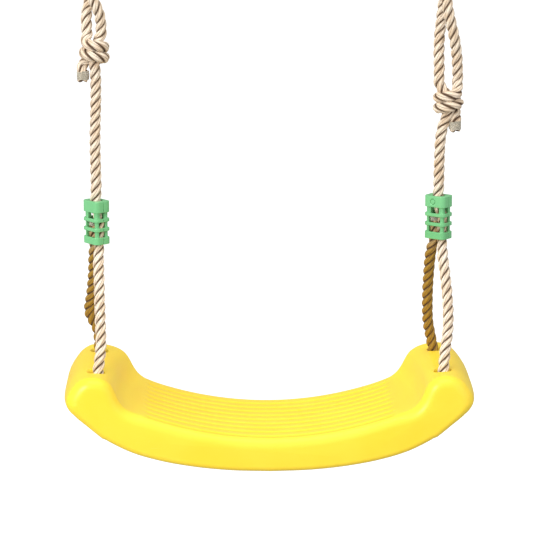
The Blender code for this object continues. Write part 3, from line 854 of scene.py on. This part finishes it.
@dataclass
class Whipping:
    """Twine wound round a rope's end."""

    node: str
    body: Body
    centre: tuple
    height: float
    radius: float
    twine: float = 0.55 * MM

    def build(self, finishes: Finishes, tree: GeometryTree) -> bpy.types.Object:
        """Wind the twine and hand it to its body.

        Args:
            finishes: The swing's finishes.
            tree: The twine's tree.

        Returns:
            The wound piece.
        """
        piece = add_piece(self.node + "_twine", bpy.data.meshes.new(self.node))
        wound = {"Radius": self.radius, "Length": self.height, "Twine": self.twine}
        tree.grow(piece, {"Turns": self.height / (2 * self.twine), "Material": finishes.twine, **wound})
        mesh = piece.data
        mesh.transform(Matrix.Translation(Vector(self.centre) - Vector((0, 0, self.height / 2))))
        places = np.array([v.co for v in mesh.vertices]) - np.array(self.centre)
        depth = np.linalg.norm(places[:, :2], axis=1) / (self.radius + self.twine)
        level = 2 * math.pi * places[:, 2] / self.twine
        store(mesh, yarn_side=np.stack([np.cos(level), np.sin(level), 0 * level], axis=1), strand_depth=depth)
        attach(piece, self.body.value)
        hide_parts(self.node)
        log.info("%s: %d faces", piece.name, len(mesh.polygons))
        return piece


@dataclass
class SwingRope:
    """One side's rope, in one length: clamp, rear leg, under the seat, front leg, clamp, knot, ring, knot."""

    sizes: SideSizes
    lay: float = 29 * MM
    strand: float = 0.475  # a strand's radius and its place, as shares of the rope's radius
    strand_out: float = 0.53
    strand_oval: float = 1.06
    squeezed: float = 0.86  # the rope's girth in the clamp and under its whipping
    bound: float = 0.78
    hole_top: float = 58 * MM  # heights above the sitting surface
    hole_foot: float = 42 * MM
    run_z: float = 12.5 * MM
    run_bend: float = 13 * MM
    leg_u: float = 4.65 * MM
    clamp_foot: float = -43 * MM  # heights above the clamp's top face
    legs_apart: float = -32 * MM
    legs_meet: float = -19.5 * MM
    collar: float = -11.7 * MM
    bound_to: float = -34 * MM
    end_z: float = -21.2 * MM
    whipping_z: float = -23.5 * MM
    whipping_length: float = 5 * MM
    knot_foot: float = 16 * MM  # distances from the knot's middle
    knot_top: float = 16.3 * MM
    wrap_top: float = 12.5 * MM
    wrap_fall: float = 21 * MM
    wrap_radius: float = 10.2 * MM
    wraps: int = 2
    wrap_keys: int = 16
    loop_radius: float = WIRE_RADIUS + ROPE_RADIUS + 0.3 * MM
    tail_out: float = 12.7 * MM
    tail_length: float = 9 * MM
    step: float = 1.6 * MM
    sides: int = 18

    def in_clamp(self, u: float, z: float) -> tuple[float, float, float]:
        """A point given along the line of the clamp's two legs and up from its top face."""
        turn = math.radians(self.sizes.turn)
        x, y, top = (v * MM for v in self.sizes.clamp)
        return (x + u * math.cos(turn), y + u * math.sin(turn), top + z)

    def cradle(self) -> list[tuple]:
        """Keys (x, y, z, girth, painted shade) from the end in the clamp, round the seat, to above the clamp.
        """
        own, tight = self.sizes, self.squeezed
        sign = own.front_is
        x = math.copysign(HOLE_X, own.ring_x)
        front_x, rear_x = (x + lean * MM for lean in own.lean)
        top, foot = SEAT_Z + self.hole_top, SEAT_Z + self.hole_foot
        shares = ((self.end_z, self.bound), (self.bound_to, tight), (self.clamp_foot, tight))
        keys = [(*self.in_clamp(-sign * self.leg_u, z), share, 0.7) for z, share in shares]
        # The last number in each key is its share of painted shade: full on the rear leg, fading under the
        # seat, none on the front leg.
        keys += [(*(v * MM for v in p), 1.0, 1.0) for p in own.rear]
        keys += [(rear_x, HOLE_Y, top, 1.0, 1.0), (x, HOLE_Y, foot, 1.0, 0.6)]
        bend = []
        for a in (math.pi / 2 * k / 4 for k in range(5)):
            y = HOLE_Y - self.run_bend * (1 - math.cos(a))
            bend.append((x, y, SEAT_Z + self.run_z + self.run_bend * (1 - math.sin(a)), 1.0, 0.4))
        keys += bend + [(x, -y, *rest) for _, y, *rest in reversed(bend)]
        keys += [(x, -HOLE_Y, foot, 1.0, 0.2), (front_x, -HOLE_Y, top, 1.0, 0.0)]
        keys += [(*(v * MM for v in p), 1.0, 0.0) for p in reversed(own.front)]
        heights = (self.clamp_foot, self.legs_apart, self.legs_meet)
        keys += [(*self.in_clamp(sign * self.leg_u, z), tight, 0.2) for z in heights]
        keys.append((*self.in_clamp(0, self.collar), 0.95, 0.1))
        return keys

    def hanging(self) -> list[tuple]:
        """Keys from above the clamp, through the knot, over the ring's wire, round the knot, to the tail."""
        own, out, wrap = self.sizes, self.sizes.outer, self.wrap_radius
        knot = Vector(own.knot) * MM
        under, rope_x = knot.z - self.knot_foot, own.upper[0][0] * MM
        keys = [(own.clamp[0] * MM, 0, TILT_Z + 3 * MM)]
        keys += [(x * MM, 0, z * MM) for x, z in reversed(own.upper[1:]) if z * MM < under - 12 * MM]
        keys += [(rope_x, 0, under - 8 * MM), (knot.x, 0, knot.z - 8 * MM), (knot.x, 0, knot.z + 6 * MM)]
        legs = self.loop_legs(knot.z + self.knot_top)
        keys += legs[-out] + self.over_wire(out) + legs[out][::-1]
        for share in (k / self.wrap_keys for k in range(1, self.wrap_keys)):
            a = 2 * math.pi * self.wraps * share
            z = knot.z + self.wrap_top - self.wrap_fall * share
            keys.append((knot.x + out * wrap * math.cos(a), -wrap * math.sin(a), z))
        tail_x = rope_x + out * self.tail_out
        keys += [(tail_x + out * 1.5 * MM, 4 * MM, knot.z - 12.5 * MM), (tail_x, 0, under - 1 * MM)]
        keys.append((tail_x, 0, under - self.tail_length - 1.2 * MM))
        return [(*key, 1.0, 0.12) for key in keys]

    def loop_legs(self, top_of_knot: float) -> dict[int, list[tuple]]:
        """The legs from knot to ring: +1 starts on the knot's +X side and passes in front of the ring.

        Args:
            top_of_knot: Height at which the legs leave the knot.

        Returns:
            Keys (x, y, z) of each leg, by its sign.
        """
        own = self.sizes
        knot_x, ring_x, leg = own.knot[0] * MM, own.ring_x * MM, own.knot_leg * MM
        start = top_of_knot + 4 * MM
        legs: dict[int, list[tuple]] = {1: [], -1: []}
        for k in range(6):
            t = k / 6
            turn = (1 - eased(t)) * math.pi / 2
            spread = leg * (1 - eased(t)) + self.loop_radius * eased(t)
            centre = knot_x + (ring_x - knot_x) * eased(t)
            for sign in legs:
                x, y = centre + sign * spread * math.sin(turn), -sign * spread * math.cos(turn)
                legs[sign].append((x, y, start + (WIRE_Z - start) * t))
        return legs

    def over_wire(self, out: int) -> list[tuple]:
        """The half turn over the ring's lower wire, towards the outer leg's side of the ring."""
        x, r = self.sizes.ring_x * MM, self.loop_radius
        angles = [math.pi * k / 8 for k in range(9)]
        return [(x, out * r * math.cos(a), WIRE_Z + r * math.sin(a)) for a in angles]

    def route(self) -> np.ndarray:
        """The rope's centreline, with its girth and its share of painted shade at each point."""
        line = smooth_line(np.array(self.cradle() + self.hanging(), float), self.step)
        for _ in range(3):
            line[1:-1] = (line[:-2] + 2 * line[1:-1] + line[2:]) / 4
        return evenly(line, self.step)

    def strands(self, line: np.ndarray) -> bpy.types.Mesh:
        """Three strands laid round the centreline.

        Args:
            line: Centreline points with their girth and their share of painted shade.

        Returns:
            The mesh, with the attributes that the rope's finish reads.
        """
        centre, girth, weathered = line[:, :3], line[:, 3], line[:, 4]
        along = np.arange(len(line)) * length_of(line) / (len(line) - 1)
        normal = carried_normals(centre)
        across = np.cross(directions(centre), normal)
        radius = ROPE_RADIUS * girth
        around = np.linspace(0, 2 * math.pi, self.sides, endpoint=False)
        points, sides, depths, leg_shade_rows, faces = [], [], [], [], []
        for k in range(3):
            phase = 2 * math.pi * (along / self.lay + k / 3)
            radial = normal * np.cos(phase)[:, None] + across * np.sin(phase)[:, None]
            middle = centre + radial * (self.strand_out * radius)[:, None]
            way = directions(middle)
            first = radial - way * (radial * way).sum(1)[:, None]
            first /= np.linalg.norm(first, axis=1)[:, None]
            second = np.cross(way, first)
            wide, tall = np.cos(around)[None, :, None], self.strand_oval * np.sin(around)[None, :, None]
            reach = (self.strand * radius)[:, None, None]
            ring = middle[:, None] + reach * (first[:, None] * wide + second[:, None] * tall)
            turned = around[None, :] + (along * 200)[:, None]
            depth = np.linalg.norm(ring - centre[:, None], axis=2) / radius[:, None]
            start = k * len(line) * self.sides
            index = start + np.arange(len(line) * self.sides).reshape(len(line), self.sides)
            nxt = np.roll(index, -1, 1)
            faces += np.stack([index[:-1], nxt[:-1], nxt[1:], index[1:]], axis=-1).reshape(-1, 4).tolist()
            faces += [index[0][::-1].tolist(), index[-1].tolist()]
            points.append(ring.reshape(-1, 3))
            sides.append(np.stack([np.cos(turned), np.sin(turned), 0 * turned], axis=-1).reshape(-1, 3))
            depths.append(depth.reshape(-1))
            leg_shade_rows.append(np.repeat(weathered, self.sides))
        mesh = bpy.data.meshes.new(f"{self.sizes.name}_rope")
        mesh.from_pydata(np.vstack(points).tolist(), [], faces)
        outwards(mesh)
        leg_shade_shares = np.concatenate(leg_shade_rows)
        store(mesh, yarn_side=np.vstack(sides), strand_depth=np.concatenate(depths), weathered=leg_shade_shares)
        mesh.shade_smooth()
        return mesh

    def whippings(self, finishes: Finishes, tree: GeometryTree) -> list[bpy.types.Object]:
        """Whip the end in the clamp and the tail beside the knot.

        Args:
            finishes: The swing's finishes.
            tree: The twine's tree.

        Returns:
            The two whippings.
        """
        own = self.sizes
        in_clamp = self.in_clamp(-own.front_is * self.leg_u, self.whipping_z)
        tail_x = own.upper[0][0] * MM + own.outer * self.tail_out
        tail = (tail_x, 0, own.knot[2] * MM - self.knot_top - self.tail_length / 2)
        bound, height = ROPE_RADIUS * self.bound, self.tail_length - 1 * MM
        ends = (
            Whipping(f"{own.name}_clamp_whipping", Body.SEAT, in_clamp, self.whipping_length, bound),
            Whipping(f"{own.name}_tail_whipping", Body.ROPES, tail, height, ROPE_RADIUS),
        )
        return [end.build(finishes, tree) for end in ends]

    def build(self, finishes: Finishes, tree: GeometryTree) -> None:
        """Args:
            finishes: The swing's finishes.
            tree: The twine's tree.
        """
        name = self.sizes.name
        whippings = self.whippings(finishes, tree)
        line = self.route()
        rope = add_piece(f"{name}_rope", self.strands(line), finishes.rope)
        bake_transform(rope)
        nodes = [f"{name}_rope_{part}" for part in ("cradle", "upper", "knot", "loop")]
        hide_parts(*nodes)


@dataclass
class RopeClamp:
    """One moulded clamp: two halves with bands and windows, and the rivet that joins them."""

    sizes: SideSizes
    # Each rib's near and far end along the clamp, inner and outer side, top and foot, in millimetres
    ribs: tuple = ((6.9, 9.8, 3.7, 6.9, -17, -43.6), (4.8, 9.8, 2.6, 6.9, -11, -17.5))
    merge: float = 0.02 * MM
    skin_step: float = 0.35 * MM
    rounding: int = 4

    def half(self, which: str, finishes: Finishes) -> bpy.types.Object:
        """One half, with its ribs joined on and its moulded edges rounded over.

        Args:
            which: The face or the back.
            finishes: The swing's finishes.

        Returns:
            The half.
        """
        node = f"{self.sizes.name}_clamp_{which}"
        x, y, top = (v * MM for v in self.sizes.clamp)
        place = Matrix.Translation((x, y, top)) @ Matrix.Rotation(math.radians(self.sizes.turn), 4, "Z")
        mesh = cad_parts[node].data.copy()
        mesh.transform(place.inverted())
        outwards(mesh, self.merge)
        piece = add_piece(node + "_moulding", mesh)
        combine(piece, self.inner_ribs(-1 if which == "face" else 1), "UNION")
        even = piece.modifiers.new("even_skin", "REMESH")
        even.mode, even.voxel_size, even.adaptivity = "VOXEL", self.skin_step, 0.0
        rounded = piece.modifiers.new("rounded_edges", "SMOOTH")
        rounded.factor, rounded.iterations = 0.5, self.rounding
        settle(piece)
        piece.data.transform(place)
        piece.data.shade_smooth()
        piece.data.materials.clear()
        piece.data.materials.append(finishes.clamp)
        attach(piece, Body.SEAT.value)
        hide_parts(node)
        return piece

    def inner_ribs(self, across: int) -> list[bpy.types.Object]:
        """The ribs inside a half's two corners, which the rope is squeezed between.

        Args:
            across: The side of the clamp that the half is on, -1 or 1.

        Returns:
            The ribs, as pieces still to be joined on.
        """
        found = []
        for end, rib in itertools.product((-1, 1), self.ribs):
            near, far, inner, outer, *ends = (v * MM for v in rib)
            corners = ((near, outer), (far, outer), (far, inner), (near, inner))
            rings = [[(end * u, across * v, z) for u, v in corners] for z in ends]
            found.append(add_piece(f"rib_{len(found)}", skin("rib", rings)))
        return found

    def build(self, finishes: Finishes) -> None:
        """Build both halves and finish the rivet."""
        halves = [self.half(which, finishes) for which in ("face", "back")]
        dress(f"{self.sizes.name}_clamp_rivet", finishes.clamp)
        log.info("%s clamp: %d faces", self.sizes.name, sum(len(half.data.polygons) for half in halves))


def dress(node: str, finish: bpy.types.Material) -> None:
    """Give a CAD node its finish."""
    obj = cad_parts[node]
    for slot in obj.material_slots:
        slot.material = finish


@dataclass
class HangingRing:
    """One welded steel ring on its hook."""

    sizes: SideSizes

    def build(self, finishes: Finishes, tree: GeometryTree) -> None:
        """Bend the ring and hand it to its body.

        Args:
            finishes: The swing's finishes.
            tree: The ring's tree.
        """
        node = f"{self.sizes.name}_ring"
        piece = add_piece(node + "_bar", bpy.data.meshes.new(node))
        tree.grow(piece, {"Radius": RING_RADIUS, "Bar": WIRE_RADIUS, "Material": finishes.steel})
        place = Matrix.Translation((self.sizes.ring_x * MM, 0, RING_CENTRE_Z))
        piece.data.transform(place @ Matrix.Rotation(math.radians(90), 4, "X"))
        outwards(piece.data, 0.001 * MM)
        piece.data.shade_smooth()
        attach(piece, Body.RINGS.value)
        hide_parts(node)
        log.info("%s: %d faces", piece.name, len(piece.data.polygons))


# ---------------------------------------------------------------- studio


@dataclass
class Studio:
    """The camera, a pale floor well below the seat, and soft light."""

    distance: float = 2.9
    azimuth: float = -1.0
    elevation: float = 15.0
    aim_right: float = 6.5 * MM
    aim_up: float = 146.8 * MM
    focal: float = 184.5
    floor_z: float = -1.15
    floor_lift: float = 0.3
    floor_bounce: Colour = (0.38, 0.38, 0.38)
    sky: float = 0.93
    sky_dimmed: float = 0.65
    # Each lamp's name, place, size and power
    lamps: tuple = (
        ("key", (-1.5, -1.8, 0.5), 1.0, 37),
        ("overhead", (-0.1, -0.6, 1.4), 1.5, 10),
        ("fill", (1.9, -1.4, 0.4), 1.6, 5),
    )

    def camera(self) -> None:
        """Stand the camera so that the seat is in the lower half of the view."""
        a, e = math.radians(self.azimuth), math.radians(self.elevation)
        ahead = Vector((-math.sin(a) * math.cos(e), math.cos(a) * math.cos(e), -math.sin(e)))
        right = Vector((math.cos(a), math.sin(a), 0))
        target = Vector((0, 0, SEAT_Z))
        place = target - ahead * self.distance
        aim = target + right * self.aim_right + right.cross(ahead) * self.aim_up
        data = bpy.data.cameras.new("camera")
        data.lens, data.sensor_width = self.focal, 36
        data.clip_start, data.clip_end = 0.1, 60
        camera = bpy.data.objects.new("camera", data)
        camera.location = place
        camera.rotation_euler = (aim - place).to_track_quat("-Z", "Y").to_euler()
        bpy.context.scene.collection.objects.link(camera)
        bpy.context.scene.camera = camera

    def lamp(self, name: str, place: tuple, size: float, power: float) -> None:
        """A square soft light aimed at the seat.

        Args:
            name: The lamp's name.
            place: Where it stands.
            size: Length of its side.
            power: Its power in watts.
        """
        data = bpy.data.lights.new(name, "AREA")
        data.shape, data.size, data.energy = "SQUARE", size, power
        lamp = bpy.data.objects.new(name, data)
        lamp.location = place
        lamp.rotation_euler = (Vector((0, 0, -0.4)) - Vector(place)).to_track_quat("-Z", "Y").to_euler()
        bpy.context.scene.collection.objects.link(lamp)

    def floor(self) -> None:
        """A wide pale floor."""
        material, wiring, shader = new_material("pale_floor")
        place = wiring.add("ShaderNodeTexCoord").outputs["Object"]
        cloud = wiring.add("ShaderNodeTexNoise", {"Vector": place, "Scale": 3.0, "Detail": 3.0}).outputs[0]
        pale = wiring.blend(cloud, (0.93, 0.93, 0.93), (0.97, 0.97, 0.97))
        shader.inputs["Roughness"].default_value = 0.9
        shader.inputs["Emission Color"].default_value = (1, 1, 1, 1)
        seen = wiring.add("ShaderNodeLightPath").outputs["Is Camera Ray"]
        wiring.join(wiring.blend(seen, self.floor_bounce, pale), shader.inputs["Base Color"])
        wiring.join(wiring.maths("MULTIPLY", seen, self.floor_lift), shader.inputs["Emission Strength"])
        mesh = bpy.data.meshes.new("floor")
        corners = [(-30, -30), (30, -30), (30, 30), (-30, 30)]
        mesh.from_pydata([(x, y, self.floor_z) for x, y in corners], [], [(0, 1, 2, 3)])
        add_piece("floor", mesh, material)

    def build(self) -> None:
        """Set up the camera, light and floor."""
        self.camera()
        self.floor()
        for lamp in self.lamps:
            self.lamp(*lamp)
        world = bpy.data.worlds.new("studio")
        world.use_nodes = True
        wiring = Wiring(world.node_tree)
        back = world.node_tree.nodes["Background"]
        back.inputs["Color"].default_value = (1, 1, 1, 1)
        path = wiring.add("ShaderNodeLightPath").outputs
        dimmed = wiring.maths("MULTIPLY_ADD", path["Is Glossy Ray"], -self.sky_dimmed, self.sky)
        wiring.join(wiring.maths("MAXIMUM", path["Is Camera Ray"], dimmed), back.inputs["Strength"])
        bpy.context.scene.world = world
        bpy.context.scene.view_settings.view_transform = "Standard"
        log.info("studio ready")


def main() -> None:
    """Build the swing piece by piece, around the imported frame."""
    Studio().build()
    finishes = Finishes()
    grooves, twine, ring = make_groove_tree(), make_whipping_tree(), make_ring_tree()
    Seat().build(finishes, grooves)
    for sizes in (LEFT, RIGHT):
        SwingRope(sizes).build(finishes, twine)
        RopeClamp(sizes).build(finishes)
        HangingRing(sizes).build(finishes, ring)


if __name__ == "__main__":
    main()
